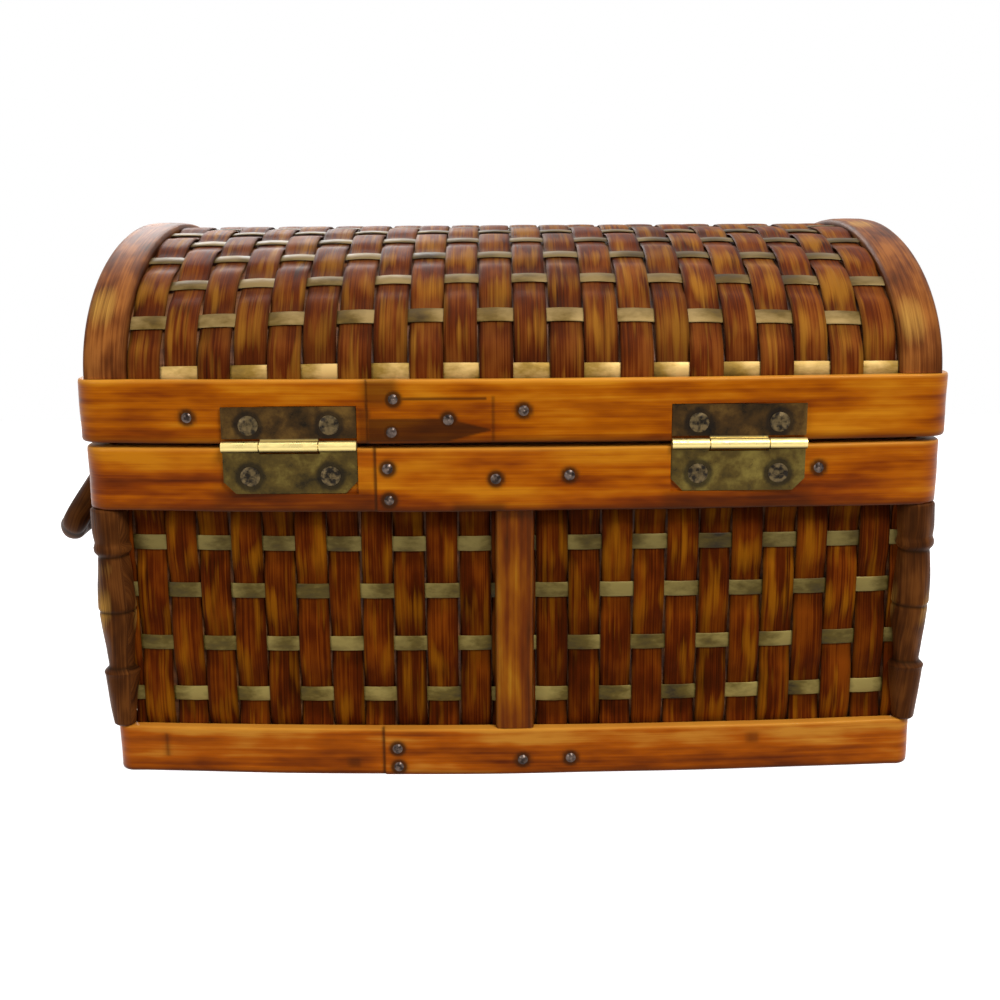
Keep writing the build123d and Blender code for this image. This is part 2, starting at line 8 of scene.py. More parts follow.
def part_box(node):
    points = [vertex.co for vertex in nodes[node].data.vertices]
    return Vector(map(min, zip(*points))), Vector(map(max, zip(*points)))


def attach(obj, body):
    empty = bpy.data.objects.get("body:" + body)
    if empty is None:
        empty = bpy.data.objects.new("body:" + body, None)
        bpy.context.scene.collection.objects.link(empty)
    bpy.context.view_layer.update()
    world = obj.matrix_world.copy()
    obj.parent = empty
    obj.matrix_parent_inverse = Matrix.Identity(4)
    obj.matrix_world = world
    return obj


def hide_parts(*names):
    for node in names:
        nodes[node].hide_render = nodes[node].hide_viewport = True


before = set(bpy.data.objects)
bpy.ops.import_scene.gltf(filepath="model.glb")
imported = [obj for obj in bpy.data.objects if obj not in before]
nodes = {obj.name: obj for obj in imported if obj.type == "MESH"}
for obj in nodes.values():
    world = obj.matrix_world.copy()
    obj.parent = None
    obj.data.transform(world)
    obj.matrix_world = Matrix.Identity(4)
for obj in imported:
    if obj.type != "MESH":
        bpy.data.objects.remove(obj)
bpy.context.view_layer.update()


# The woven walls. Split bamboo slats stand side by side, stained red-brown and lacquered, and flat
# brass-coloured strips run through them in a plain weave. Front and back bow gently outward.
MM = 0.001
rng = np.random.default_rng(7)


def linear(text):
    """sRGB hex such as 7A4A28 to linear red, green, blue and alpha."""
    srgb = np.array([int(text[i:i + 2], 16) for i in (0, 2, 4)]) / 255
    low = srgb / 12.92
    high = ((srgb + 0.055) / 1.055) ** 2.4
    return (*np.where(srgb <= 0.04045, low, high).tolist(), 1.0)


def add(tree, kind, settings=()):
    """Adds a shader node. Settings are keyed by attribute, input name or input number. A socket is
    linked, a node by its first output, and stops of (place, hex) fill a colour ramp."""
    node = tree.nodes.new("ShaderNode" + kind)
    for key, value in dict(settings).items():
        value = value.outputs[0] if isinstance(value, bpy.types.Node) else value
        if isinstance(value, bpy.types.NodeSocket):
            tree.links.new(value, node.inputs[key])
        elif key == "stops":
            bands = node.color_ramp.elements
            while len(bands) < len(value):
                bands.new(0.5)
            for band, (place, text) in zip(bands, value):
                band.position, band.color = place, linear(text)
        elif isinstance(key, str) and hasattr(node, key):
            setattr(node, key, value)
        else:
            node.inputs[key].default_value = value
    return node


def new_material(name):
    """An empty material and its node tree."""
    material = bpy.data.materials.new(name)
    material.use_nodes = True
    material.node_tree.nodes.clear()
    return material, material.node_tree


def grain_axes(tree):
    """The grain attribute's parts: millimetres along the fibres, across them, and the piece's seed."""
    grain = add(tree, "Attribute", {"attribute_name": "grain"})
    return add(tree, "SeparateXYZ", {0: grain.outputs["Vector"]}).outputs[:3]


def stretched_noise(tree, axes, along, across, detail=3.0, rough=0.6, shift=0.0):
    """Noise with cells along mm long and across mm wide. Each piece's seed moves it 7.31 cells on."""
    u = add(tree, "Math", {"operation": "MULTIPLY", 0: axes[0], 1: 1 / along})
    v = add(tree, "Math", {"operation": "MULTIPLY", 0: axes[1], 1: 1 / across})
    w = add(tree, "Math", {"operation": "MULTIPLY_ADD", 0: axes[2], 1: 7.31, 2: shift})
    place = add(tree, "CombineXYZ", {0: u, 1: v, 2: w})
    return add(tree, "TexNoise", {"Scale": 1.0, "Detail": detail, "Roughness": rough, "Vector": place})


def inside_out(flat, quads):
    """True where the quads face inward: a . (b x c + c x d), summed over them, is then negative."""
    a, b, c, d = (flat[quads[:, i]] for i in range(4))
    return np.einsum("ij,ij->i", a, np.cross(b, c) + np.cross(c, d)).sum() < 0


def closed_shell(points, grain):
    """A tube of rings: points is rings x around x 3, closed around and capped at both ends."""
    rings, around = points.shape[:2]
    index = np.arange(rings * around).reshape(rings, around)
    right = np.roll(index, -1, axis=1)
    quads = np.stack([index[:-1], right[:-1], right[1:], index[1:]], axis=-1).reshape(-1, 4)
    flat = points.reshape(-1, 3)
    ends = [index[0][::-1].tolist(), index[-1].tolist()]
    if inside_out(flat, quads):
        quads = quads[:, ::-1]
        ends = [end[::-1] for end in ends]
    return flat, grain.reshape(-1, 3), quads, ends


def make_piece(name, shells, material, body, stands_for, sharp, extra):
    """One object from closed shells, riding on a body in place of CAD nodes. Edges past the angle
    sharp stay sharp, and extra holds values per point for the material."""
    points, grains, faces, start = [], [], [], 0
    for flat, grain, quads, ends in shells:
        points.append(flat)
        grains.append(grain)
        faces.extend((quads + start).tolist())
        faces.extend([[i + start for i in end] for end in ends])
        start += len(flat)
    mesh = bpy.data.meshes.new(name)
    mesh.from_pydata(np.concatenate(points) * MM, [], faces)
    attribute = mesh.attributes.new("grain", "FLOAT_VECTOR", "POINT")
    attribute.data.foreach_set("vector", np.concatenate(grains).astype(np.float32).ravel())
    for key, values in extra.items():
        attribute = mesh.attributes.new(key, "FLOAT", "POINT")
        attribute.data.foreach_set("value", values.astype(np.float32))
    mesh.polygons.foreach_set("use_smooth", [True] * len(mesh.polygons))
    mesh.set_sharp_from_angle(angle=sharp)
    mesh.materials.append(material)
    piece = bpy.data.objects.new(name, mesh)
    bpy.context.scene.collection.objects.link(piece)
    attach(piece, body)
    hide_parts(*stands_for)


# Bamboo slat, stained and lacquered: fibres run along it, with golden streaks where the stain is
# thin, golden crest patches that are partly worn stain and partly painted highlight, painted shade
# darkening its edges, and a soft gloss.
def slat_finish(name, dark, middle, warm, streak, streak_share, shade, shine):
    """Lacquered bamboo: colour by fibres, golden streaks, crest patches of wear and painted highlight, and a
    shade attribute that mixes in painted shade and per-slat tone.
    """
    material, tree = new_material(name)
    axes = grain_axes(tree)
    fibres = stretched_noise(tree, axes, 60.0, 0.55, 4.0, 0.65)
    cloud = stretched_noise(tree, axes, 15.0, 7.0, 2.0, 0.5, 3.7)
    tone = add(tree, "Math", {"operation": "ADD", 0: fibres, 1: cloud})
    tone = add(tree, "Math", {"operation": "MULTIPLY", 0: tone, 1: 0.55})
    colour = add(tree, "ValToRGB", {"stops": ((0.36, dark), (0.52, middle), (0.66, warm)), 0: tone})
    lines = stretched_noise(tree, axes, 48.0, 1.3, 4.0, 0.6, 9.1)
    patch = stretched_noise(tree, axes, 16.0, 4.0, 1.0, 0.5, 15.3)
    patch = add(tree, "Math", {"operation": "MULTIPLY", 0: patch, 1: 2.0})
    gold = add(tree, "Math", {"operation": "MULTIPLY", 0: lines, 1: patch})
    # Crest patches from the mesh: partly worn stain, partly a painted highlight where the slat bulges.
    rubbed = add(tree, "Attribute", {"attribute_name": "rubbed"}).outputs["Fac"]
    crest_fibres = add(tree, "Math", {"operation": "MULTIPLY", 0: fibres, 1: 0.5})
    gold = add(tree, "Math", {"operation": "MULTIPLY_ADD", 0: rubbed, 1: crest_fibres, 2: gold})
    gold = add(tree, "MapRange", {"From Min": streak_share - 0.08, "From Max": streak_share + 0.24,
                                  "To Max": 0.75, "Value": gold})
    lit = add(tree, "Attribute", {"attribute_name": "shade"}).outputs["Fac"]
    colour = add(tree, "Mix", {"data_type": "RGBA", 0: gold, 6: colour, 7: linear(streak)}).outputs[2]
    colour = add(tree, "Mix", {"data_type": "RGBA", 0: lit, 6: colour, 7: linear(shade)}).outputs[2]
    rough = add(tree, "MapRange",
                {"From Min": 0.3, "From Max": 0.7, "To Min": 0.46, "To Max": 0.66, "Value": fibres})
    bump = add(tree, "Bump", {"Strength": 0.35, "Distance": 0.25 * MM, "Height": fibres})
    shader = add(tree, "BsdfPrincipled", {"IOR": 1.2, "Specular Tint": linear(shine), "Base Color": colour,
                                          "Roughness": rough, "Normal": bump})
    add(tree, "OutputMaterial", {0: shader})
    return material


# Thin brass-coloured strip, rolled and dulled: olive gold with darker worn spots.
def strip_finish(name, dark, middle, light):
    """Dull rolled strip: metal with cloudy tarnish."""
    material, tree = new_material(name)
    axes = grain_axes(tree)
    cloud = stretched_noise(tree, axes, 5.0, 2.4, 3.0, 0.6, 2.2)
    piece_tone = stretched_noise(tree, axes, 11.0, 30.0, 0.0, 0.5, 5.5)
    tone = add(tree, "Math", {"operation": "MULTIPLY", 0: cloud, 1: 0.5})
    tone = add(tree, "Math", {"operation": "MULTIPLY_ADD", 0: piece_tone, 1: 0.9, 2: tone})
    colour = add(tree, "ValToRGB", {"stops": ((0.42, dark), (0.62, middle), (0.84, light)), 0: tone})
    lit = add(tree, "Attribute", {"attribute_name": "shade"}).outputs["Fac"]
    colour = add(tree, "Mix", {"data_type": "RGBA", 0: lit, 6: colour, 7: linear("1E1408")}).outputs[2]
    rough = add(tree, "MapRange",
                {"From Min": 0.3, "From Max": 0.7, "To Min": 0.4, "To Max": 0.6, "Value": cloud})
    bump = add(tree, "Bump", {"Strength": 0.25, "Distance": 0.2 * MM, "Height": cloud})
    shader = add(tree, "BsdfPrincipled",
                 {"Metallic": 0.4, "IOR": 1.3, "Base Color": colour, "Roughness": rough, "Normal": bump})
    add(tree, "OutputMaterial", {0: shader})
    return material


def even_edges(columns, pitch):
    """Edges of evenly wide columns about the middle."""
    return (np.arange(columns + 1) - columns / 2) * pitch


lid_low, lid_high = (np.array(corner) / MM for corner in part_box("lid_rim_band"))
rim_low, rim_high = (np.array(corner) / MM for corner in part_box("body_rim_band"))
base_high = np.array(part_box("base_band")[1]) / MM
slat_low, slat_high = (np.array(corner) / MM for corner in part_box("back_slats"))

# All in millimetres. The back's columns and rows stand where the photograph has them.
half_width, half_depth = lid_high[0], 88.0
face_bow, bow_reach = 4.5, 112.8
corner_radius = 8.0
body_step = half_width - rim_high[0]
body_middle_inset = 7.23
slat_gap, slat_step = 0.3, 1.1
slat_sway, slat_lean = 0.14, 0.0018
slat_wave, strip_wave = 0.65, 0.3
strip_width = 4.5
crest_lag = 0.3
body_rows = np.array([24.2, 40.2, 56.5, 70.9])
back_edges = np.concatenate([[-115.2], -111.5 + 9.575 * np.arange(12), [-0.6], 6.9 + 9.56 * np.arange(12),
                             [115.3]])
front_edges = np.concatenate([[-115.2], even_edges(24, 9.4), [115.2]])
side_edges = even_edges(16, 9.2)

slat_profile = np.array([(-1, 0.02), (-0.95, 0.26), (-0.75, 0.36), (-0.4, 0.42), (0, 0.44), (0.4, 0.42),
                         (0.75, 0.36), (0.95, 0.26), (1, 0.02), (0.98, -0.34), (0, -0.38), (-0.98, -0.34)])
strip_profile = np.array([(-1, 0.0), (-0.88, 0.17), (0, 0.23), (0.88, 0.17), (1, 0.0), (0.85, -0.18),
                          (-0.85, -0.18)])


def scatter(number):
    """A fixed value from 0 to 1 for a number: the fraction of a large sine."""
    large = np.sin(number) * 43758.5453
    return large - np.floor(large)


def bow_at(x):
    """Outward bow of front and back at x: a parabola, nothing past the corners."""
    return face_bow * np.maximum(0.0, 1 - (x / bow_reach) ** 2)


def wave(turns):
    """Over-and-under wave: a cosine flattened at its crests, 1 where turns is even, -1 where odd."""
    return np.tanh(1.9 * np.cos(np.pi * turns)) / math.tanh(1.9)


def outside(s, rows):
    """Row numbers go on past the first and last row at the same step."""
    step = (rows[-1] - rows[0]) / (len(rows) - 1)
    return np.minimum(0, (s - rows[0]) / step) + np.maximum(0, (s - rows[-1]) / step)


def weave_slats(place, edges, span, rows, out_first, shade_at, seed):
    """Slats of one panel as closed shells; place(u, s, off) turns panel coordinates to x, y, z.
    span(u) gives a slat's lowest and highest s, and a slat is out at row k where k + its number +
    out_first is even. Painted shade darkens it at its edges, between the slats, and where it dips under
    a strip; golden patches on its crests are partly rubbed stain and partly painted highlight."""
    shells, shades, wear_and_highlight_parts = [], [], []
    a, b = slat_profile[:, 0], slat_profile[:, 1]
    for i, (left, right) in enumerate(zip(edges[:-1], edges[1:])):
        width = (right - left - slat_gap) / 2 * rng.uniform(0.965, 1.0)
        across = (left + right) / 2 + a * width
        low, high = span(across)
        t = np.linspace(0, 1, int(np.max(high - low) / slat_step) + 2)[:, None]
        s = low + (high - low) * t
        sway = slat_sway * np.sin(s / rng.uniform(25, 45) + rng.uniform(0, 6))
        u = across[None, :] + (sway + rng.normal(0, slat_lean) * (s - s.mean()))
        turns = np.interp(s, rows, np.arange(len(rows))) + (i + out_first) % 2 + outside(s, rows)
        turn = wave(turns)
        grain = np.stack([s, np.broadcast_to(a * width, s.shape), np.full_like(u, seed + i)], -1)
        shells.append(closed_shell(np.stack(place(u, s, slat_wave * turn + b[None, :]), -1), grain))
        # Painted shade on the slat's edges, in the gaps between slats, and where the slat dips under a
        # strip.
        edge = np.broadcast_to(np.abs(a) ** 8 * 0.55, s.shape)
        painted_under_shade = np.clip(-turn, 0, 1) * 0.2
        shades.append(np.clip(edge + painted_under_shade + shade_at(u, s, i), 0, 0.95).ravel())
        # Golden crest patches: partly worn stain, partly a painted highlight where the slat bulges out.
        crest = np.clip(np.cos(np.pi * (turns + crest_lag)), 0, 1) ** 1.5
        chance = scatter(np.round((turns + crest_lag) / 2) * 12.99 + i * 78.23 + seed)
        wear_and_highlight_parts.append((crest * chance).ravel())
    return shells, {"shade": np.concatenate(shades), "rubbed": np.concatenate(wear_and_highlight_parts)}


def weave_strips(place, edges, rows, out_first, shade_at, seed, reach=None):
    """Strips of one panel, out where the slat goes in. reach(s) limits their length."""
    shells, shades = [], []
    middles = (edges[1:] + edges[:-1]) / 2
    a, b = strip_profile[:, 0], strip_profile[:, 1]
    for k, row in enumerate(rows):
        first, last = (edges[0], edges[-1]) if reach is None else (-reach(row), reach(row))
        u = np.linspace(first, last, len(middles) * 7 + 1)
        lean = rng.normal(0, 0.0012)
        s = row + (lean * u + 0.12 * np.sin(u / 23 + k))[:, None] + a[None, :] * strip_width / 2
        column = np.interp(u, middles, np.arange(len(middles)))
        off = -strip_wave * np.cos(np.pi * (column + k + out_first))[:, None] + b[None, :]
        u_grid = np.repeat(u[:, None], len(a), 1)
        rise = np.repeat((a * strip_width / 2)[None, :], len(u), 0)
        grain = np.stack([u_grid, rise, np.full_like(u_grid, seed + k)], -1)
        shells.append(closed_shell(np.stack(place(u_grid, s, off), -1), grain))
        shades.append(np.full(u_grid.size, shade_at(k)))
    return shells, {"shade": np.concatenate(shades)}


def long_wall(sign):
    """Back (1) or front (-1) wall: x along, z up, y outward with the bow."""
    reach = half_depth - body_middle_inset
    return lambda u, s, off: (sign * u, sign * (reach + bow_at(u) + off), s)


def side_wall(sign):
    """Right (1) or left (-1) wall: y along, z up, x outward."""
    reach = half_width - body_step - body_middle_inset
    return lambda u, s, off: (sign * (reach + off), -sign * u, s)


body_slat = slat_finish("red_brown_bamboo_slat", "280C02", "5A2005", "88400A", "AE680E", 0.63, "120501",
                        "F09850")
body_strip = strip_finish("dull_brass_strip", "261C08", "584818", "8E7C42")
foot_shade_top = 38


def body_shade(u, s, i):
    """Painted shade towards the floor, and darker in some slats, as the stain took."""
    # The second term is painted shade, deepening towards the floor below foot_shade_top.
    return scatter(i * 12.9898) * 0.28 + 0.18 * np.clip((foot_shade_top - s) / foot_shade_top, 0, 1)


def body_span(across):
    """Body slats run from inside the base band to inside the rim."""
    return np.full_like(across, slat_low[2]), np.full_like(across, slat_high[2])


for wall, place, edges, out_first, seed in (("back", long_wall(1), back_edges, 0, 0),
                                            ("front", long_wall(-1), front_edges, 0, 40),
                                            ("right", side_wall(1), side_edges, 1, 80),
                                            ("left", side_wall(-1), side_edges, 1, 120)):
    shells, extra = weave_slats(place, edges, body_span, body_rows, out_first, body_shade, seed)
    make_piece(f"woven_{wall}_slats", shells, body_slat, "body", [f"{wall}_slats"], 0.9,
               extra)
    shells, extra = weave_strips(place, edges, body_rows, out_first, lambda k: 0.12 * k, seed + 27)
    make_piece(f"woven_{wall}_strips", shells, body_strip, "body", [f"{wall}_strips"], 0.9,
               extra)


# The domed lid. Longer slats are bent over the arch from front to back, with the same brass strips
# through them; the lowest strips are bright and the ones near the top darker.
arch_reach, arch_spring, arch_rise = 83.95, 118.8, 41.4
arch_angles = np.linspace(0, math.pi, 4001)
arch_steps = np.hypot(np.diff(arch_reach * np.cos(arch_angles)), np.diff(arch_rise * np.sin(arch_angles)))
arch_walk = np.concatenate([[0.0], np.cumsum(arch_steps)])
arch_length = arch_walk[-1]
slat_tail = 16.2
dome_edges = even_edges(22, 9.95)
dome_rows = np.linspace(2.0, arch_length - 2.0, 14)
dome_strip_shades = (0.05, 0.6, 0.68, 0.74, 0.76, 0.78, 0.8)


def over_arch(s, off):
    """Point at length s over the arch from the back, standing off it: y, z and the normal's y."""
    angle = np.interp(s, arch_walk, arch_angles)
    y, z = arch_reach * np.cos(angle), arch_spring + arch_rise * np.sin(angle)
    ny, nz = arch_rise * np.cos(angle), arch_reach * np.sin(angle)
    size = np.hypot(ny, nz)
    ny, nz = ny / size, nz / size
    z = z + np.minimum(0, s) + np.minimum(0, arch_length - s)
    return y + off * ny, z + off * nz, ny


def dome_place(u, s, off):
    """Dome: x across, length over the arch, bow and offset along its normal."""
    _, _, ny = over_arch(s, 0.0)
    y, z, _ = over_arch(s, off + bow_at(u) * np.abs(ny))
    return u, y, z


def dome_shade(u, s, i):
    """Lighter low down, greyer and darker towards the crest."""
    return scatter(i * 78.233) * 0.25 + 0.12 * np.sin(np.pi * np.clip(s / arch_length, 0, 1)) ** 2


def dome_span(across):
    """Dome slats run past the arch at both ends, down inside the lid band."""
    return np.full_like(across, -slat_tail), np.full_like(across, arch_length + slat_tail)


def dome_strip_shade(k):
    """The same from the front as from the back: bright at the lowest strip, dark at the crest."""
    return dome_strip_shades[min(k, len(dome_rows) - 1 - k)]


dome_slat = slat_finish("brown_bamboo_slat", "2C0F06", "60260A", "884818", "AA7022", 0.62, "1C0A04",
                        "F0A868")
dome_strip = strip_finish("bright_brass_strip", "5C4416", "92722C", "D4B06C")
shells, extra = weave_slats(dome_place, dome_edges, dome_span, dome_rows, 1, dome_shade, 200)
make_piece("woven_dome_slats", shells, dome_slat, "lid", ["dome_slats"], 0.9, extra)
shells, extra = weave_strips(dome_place, dome_edges, dome_rows, 1, dome_strip_shade, 230)
make_piece("woven_dome_strips", shells, dome_strip, "lid", ["dome_strips"], 0.9, extra)

# The flat ends of the dome: short slats under the arch, woven like the rest.
end_edges = even_edges(18, 9.2)
end_rows = np.array([116.8, 132.2, 147.6])
end_reach_x, end_foot = 120.85, 103.0
under_hoop = 1.4


def end_wall(sign):
    """Right (1) or left (-1) end of the dome: y along, z up, x outward."""
    return lambda u, s, off: (sign * (end_reach_x + off), -sign * u, s)


def end_span(across):
    """From inside the lid band up to just under the hoop."""
    inside = np.clip(np.abs(across) / (arch_reach - under_hoop), 0, 0.999)
    return np.full_like(across, end_foot), arch_spring + (arch_rise - under_hoop) * np.sqrt(1 - inside ** 2)


def end_reach(s):
    """Half the end wall's width at a height."""
    return (arch_reach - 3.0) * math.sqrt(1 - (max(0.0, s - arch_spring) / (arch_rise - under_hoop)) ** 2)


for side, sign in (("right", 1), ("left", -1)):
    shells, extra = weave_slats(end_wall(sign), end_edges, end_span, end_rows, 0, body_shade,
                                260 + 30 * sign)
    make_piece(f"woven_end_slats_{side}", shells, dome_slat, "lid", [f"end_slats_{side}"],
               0.9, extra)
    shells, extra = weave_strips(end_wall(sign), end_edges, end_rows, 0, lambda k: 0.3, 320 + sign,
                                 end_reach)
    make_piece(f"woven_end_strips_{side}", shells, dome_strip, "lid", [f"end_strips_{side}"],
               0.9, extra)

# Two bent hoops of bamboo root close the ends of the dome. They sit on the lid band, have rounded
# faces and keep golden patches where the root's skin was left.
hoop_profile = np.array([(-1, 0.1), (-0.97, 0.5), (-0.86, 0.8), (-0.6, 0.95), (0, 1), (0.6, 0.95),
                         (0.86, 0.8), (0.97, 0.5), (1, 0.1), (0.97, -0.6), (0.6, -0.85), (0, -0.9),
                         (-0.6, -0.85), (-0.97, -0.6)])
hoop_x, hoop_half, hoop_thick, hoop_lift = 115.75, 6.15, 1.85, 0.76


def root_finish(name, deep, middle, light):
    """Lacquered root: fibres along it, tan patches and a dark value from the mesh's own values: the nodes on
    rods, painted shade along the edges on hoops.
    """
    material, tree = new_material(name)
    axes = grain_axes(tree)
    fibre = stretched_noise(tree, axes, 30.0, 0.6, 4.0, 0.65)
    cloud = stretched_noise(tree, axes, 14.0, 6.0, 2.0, 0.5, 4.4)
    tone = add(tree, "Math", {"operation": "MULTIPLY", 0: cloud, 1: 0.6})
    tone = add(tree, "Math", {"operation": "MULTIPLY_ADD", 0: fibre, 1: 0.5, 2: tone})
    colour = add(tree, "ValToRGB", {"stops": ((0.38, deep), (0.52, middle), (0.66, light)), 0: tone})
    tan = add(tree, "Attribute", {"attribute_name": "tan"}).outputs["Fac"]
    dark = add(tree, "Attribute", {"attribute_name": "dark"}).outputs["Fac"]
    patch = add(tree, "Math", {"operation": "MULTIPLY", 0: fibre, 1: 1.6})
    patch = add(tree, "Math", {"operation": "MULTIPLY", 0: tan, 1: patch})
    patch = add(tree, "MapRange", {"From Min": 0.25, "From Max": 0.75, "Value": patch})
    colour = add(tree, "Mix", {"data_type": "RGBA", 0: patch, 6: colour, 7: linear("C08C40")}).outputs[2]
    colour = add(tree, "Mix", {"data_type": "RGBA", 0: dark, 6: colour, 7: linear("160A04")}).outputs[2]
    bump = add(tree, "Bump", {"Strength": 0.4, "Distance": 0.3 * MM, "Height": fibre})
    shader = add(tree, "BsdfPrincipled", {"Roughness": 0.48, "IOR": 1.25, "Specular Tint": linear("F0A868"),
                                          "Base Color": colour, "Normal": bump})
    add(tree, "OutputMaterial", {0: shader})
    return material


hoop_wood = root_finish("bamboo_root_hoop", "3A1A0A", "703A18", "A0602A")
root_wood = root_finish("bamboo_root_rod", "241006", "4A260E", "70401A")
for side, sign, patches in (("right", 1, (22.0, 178.0)), ("left", -1, (16.0, 78.0, 190.0))):
    s = np.linspace(1.0, arch_length - 1.0, 200)[:, None]
    a, b = hoop_profile[:, 0], hoop_profile[:, 1]
    x = sign * hoop_x + a * hoop_half + 0.12 * np.sin(s / 17 + sign)
    y, z, _ = over_arch(s + 0 * x, hoop_lift + b * hoop_thick)
    grain = np.stack([s + 0 * x, 0 * s + a * hoop_half, 0 * x + 400 + sign], -1)
    tan_at = sum(np.exp(-((s - p) / 9) ** 2) for p in patches) * np.exp(-((a - 0.3) / 0.6) ** 2)
    # Painted shade along both edges of the hoop, where it meets the slats and the end wall.
    edge_shade_at = 0.5 * np.abs(a) ** 6 + 0 * s
    make_piece(f"bent_hoop_{side}", [closed_shell(np.stack([x, y, z], -1), grain)], hoop_wood, "lid",
               [f"hoop_{side}"], 0.9, {"tan": tan_at.ravel(), "dark": edge_shade_at.ravel()})

# The bands of split bamboo round the lid, the rim and the foot: amber lacquer over long fibres. Each
# is one strip bent round the chest, lapped at the back, with flat seats cut for the hinge leaves.
# Distances are in millimetres, nails and marks at their x and z on the back.
lap_step, lap_taper = 0.5, 60.0
hinge_x, leaf_half, leaf_seat = 63.5, 19.15, 90.65


def band_path(inset, side_inset, lap_x):
    """Closed plan of a band's face: points, outward normals and length, dense on the back."""
    deep, across = half_depth - inset, half_width - side_inset
    radius = corner_radius - inset
    marks = [-hinge_x - leaf_half, -hinge_x + leaf_half, hinge_x - leaf_half, hinge_x + leaf_half, lap_x]
    x = np.unique(np.concatenate([np.arange(-bow_reach, bow_reach, 1.0), np.arange(4.0, 43.0, 0.3),
                                  [m + d for m in marks for d in (-0.03, 0.03)]]))
    corner = np.radians(np.arange(82, -1, -8))
    cx, cy = across - radius + radius * np.cos(corner), deep - radius + radius * np.sin(corner)
    front_x = np.linspace(bow_reach, -bow_reach, 120)
    side_y = np.linspace(deep - radius, -(deep - radius), 90)[1:-1]
    px = np.concatenate([x, cx, 0 * side_y + across, cx[::-1], front_x, -cx, 0 * side_y - across,
                         -cx[::-1]])
    py = np.concatenate([deep + bow_at(x), cy, side_y, -cy[::-1], -deep - bow_at(front_x), -cy,
                         side_y[::-1], cy[::-1]])
    start = int(np.argmin(np.abs(px) + (py > 0) * 1000))
    px, py = np.roll(px, -start), np.roll(py, -start)
    ahead = np.stack([np.roll(px, -1) - np.roll(px, 1), np.roll(py, -1) - np.roll(py, 1)], -1)
    ahead /= np.linalg.norm(ahead, axis=1)[:, None]
    px, py = np.append(px, px[0] - 0.02 * ahead[0, 0]), np.append(py, py[0] - 0.02 * ahead[0, 1])
    ahead = np.concatenate([ahead, ahead[:1]])
    walk = np.concatenate([[0], np.cumsum(np.hypot(np.diff(px), np.diff(py)))])
    return px, py, -ahead[:, 1], ahead[:, 0], walk


def closed_ring(points, grain):
    """A ring of cross-sections joined end to end: points is sections x around x 3."""
    sections, around = points.shape[:2]
    index = np.arange(sections * around).reshape(sections, around)
    ahead, beside = np.roll(index, -1, 0), np.roll(index, -1, 1)
    quads = np.stack([index, beside, np.roll(ahead, -1, 1), ahead], -1).reshape(-1, 4)
    flat = points.reshape(-1, 3)
    if inside_out(flat, quads):
        quads = quads[:, ::-1]
    return flat, grain.reshape(-1, 3), quads, []


def band_piece(name, node, body, low, high, inset, side_inset, thick, side_thick, lap_x, seat, nails, marks,
               seed):
    """Band swept round the plan. The lap stands lap_step proud at lap_x and tapers off, seat is the
    height range of the hinge seats, and nails and marks darken the back."""
    px, py, nx, ny, walk = band_path(inset, side_inset, lap_x)
    back = (py > 0) & (np.abs(px) < bow_reach + 0.1)
    extra = np.where(back & (px < lap_x), lap_step * np.maximum(0, 1 - (lap_x - px) / lap_taper), 0)
    rows = np.unique(np.concatenate([np.arange(low + 0.9, high - 0.8, 0.4),
                                     [h + d for h in seat for d in (-0.03, 0.03)]]))
    rows = rows[(rows > low + 0.85) & (rows < high - 0.85)]
    outer_z = np.concatenate([[low, low + 0.12, low + 0.4], rows, [high - 0.4, high - 0.12, high]])
    outer_in = np.concatenate([[0.75, 0.35, 0.1], 0 * rows, [0.1, 0.35, 0.75]])
    inner_z = np.array([high, low])
    z = np.concatenate([outer_z, inner_z])
    edge = 0.22 * np.sin(walk / 31 + seed) + 0.12 * np.sin(walk / 9.7 + 2 * seed)
    fade = np.clip((walk - walk[0]) / 20, 0, 1) * np.clip((walk[-1] - walk) / 20, 0, 1)
    inner = thick + (side_thick - thick) * np.abs(nx)
    depth = np.concatenate([np.broadcast_to(outer_in, (len(px), len(outer_z))),
                            np.repeat(inner[:, None], 2, 1)], 1)
    relief = 0.10 * np.sin(z[None, :] / 2.3 + walk[:, None] / 90) * (depth < 0.5)
    depth = depth - extra[:, None] * (depth < 1.5) + relief * 0.6
    middle = (low + high) / 2
    sag = 0.5 * np.where(z > middle, -0.4, 1.0) * (np.abs(z - middle) / (high - low) * 2) ** 2
    zz = np.clip(z[None, :] + (edge * fade)[:, None] * sag[None, :], low, high)
    x = px[:, None] - nx[:, None] * depth
    y = py[:, None] - ny[:, None] * depth
    at_leaf = back & (np.abs(np.abs(px) - hinge_x) < leaf_half)
    in_seat = at_leaf[:, None] & (z > seat[0]) & (z < seat[1]) & (depth < 1.9)
    y = np.where(in_seat, np.minimum(y, leaf_seat), y)
    along, upward = np.broadcast_to(walk[:, None], x.shape), np.broadcast_to(z, x.shape)
    grain = np.stack([along, upward, np.full_like(x, seed)], -1)
    stain = np.zeros_like(x)
    on_back = back[:, None] & (depth < 1.5)
    for nail_x, nail_z in nails:
        distance = np.hypot(x - nail_x, z - nail_z)
        stain = np.maximum(stain, on_back * 0.9 * np.exp(-(np.maximum(0, distance - 1.9) / 0.8) ** 2))
    for mark in marks:
        stain = np.maximum(stain, on_back * mark(x, zz))
    lap_line = on_back * np.exp(-((x - lap_x - 0.5) / 0.5) ** 2) * 0.8
    rise = np.broadcast_to((z - low) / (high - low), x.shape)
    make_piece(name, [closed_ring(np.stack([x, y, zz], -1), grain)], band_wood[node], body, [node],
               0.6, {"stain": np.maximum(stain, lap_line).ravel(), "rise": rise.ravel()})


def smooth_box(x, z, x0, x1, z0, z1, soft=0.5):
    """1 inside a box in x and z, falling off over soft mm."""
    beside, above = np.maximum(0, np.maximum(x0 - x, x - x1)), np.maximum(0, np.maximum(z0 - z, z - z1))
    return np.exp(-(np.hypot(beside, above) / soft) ** 2)


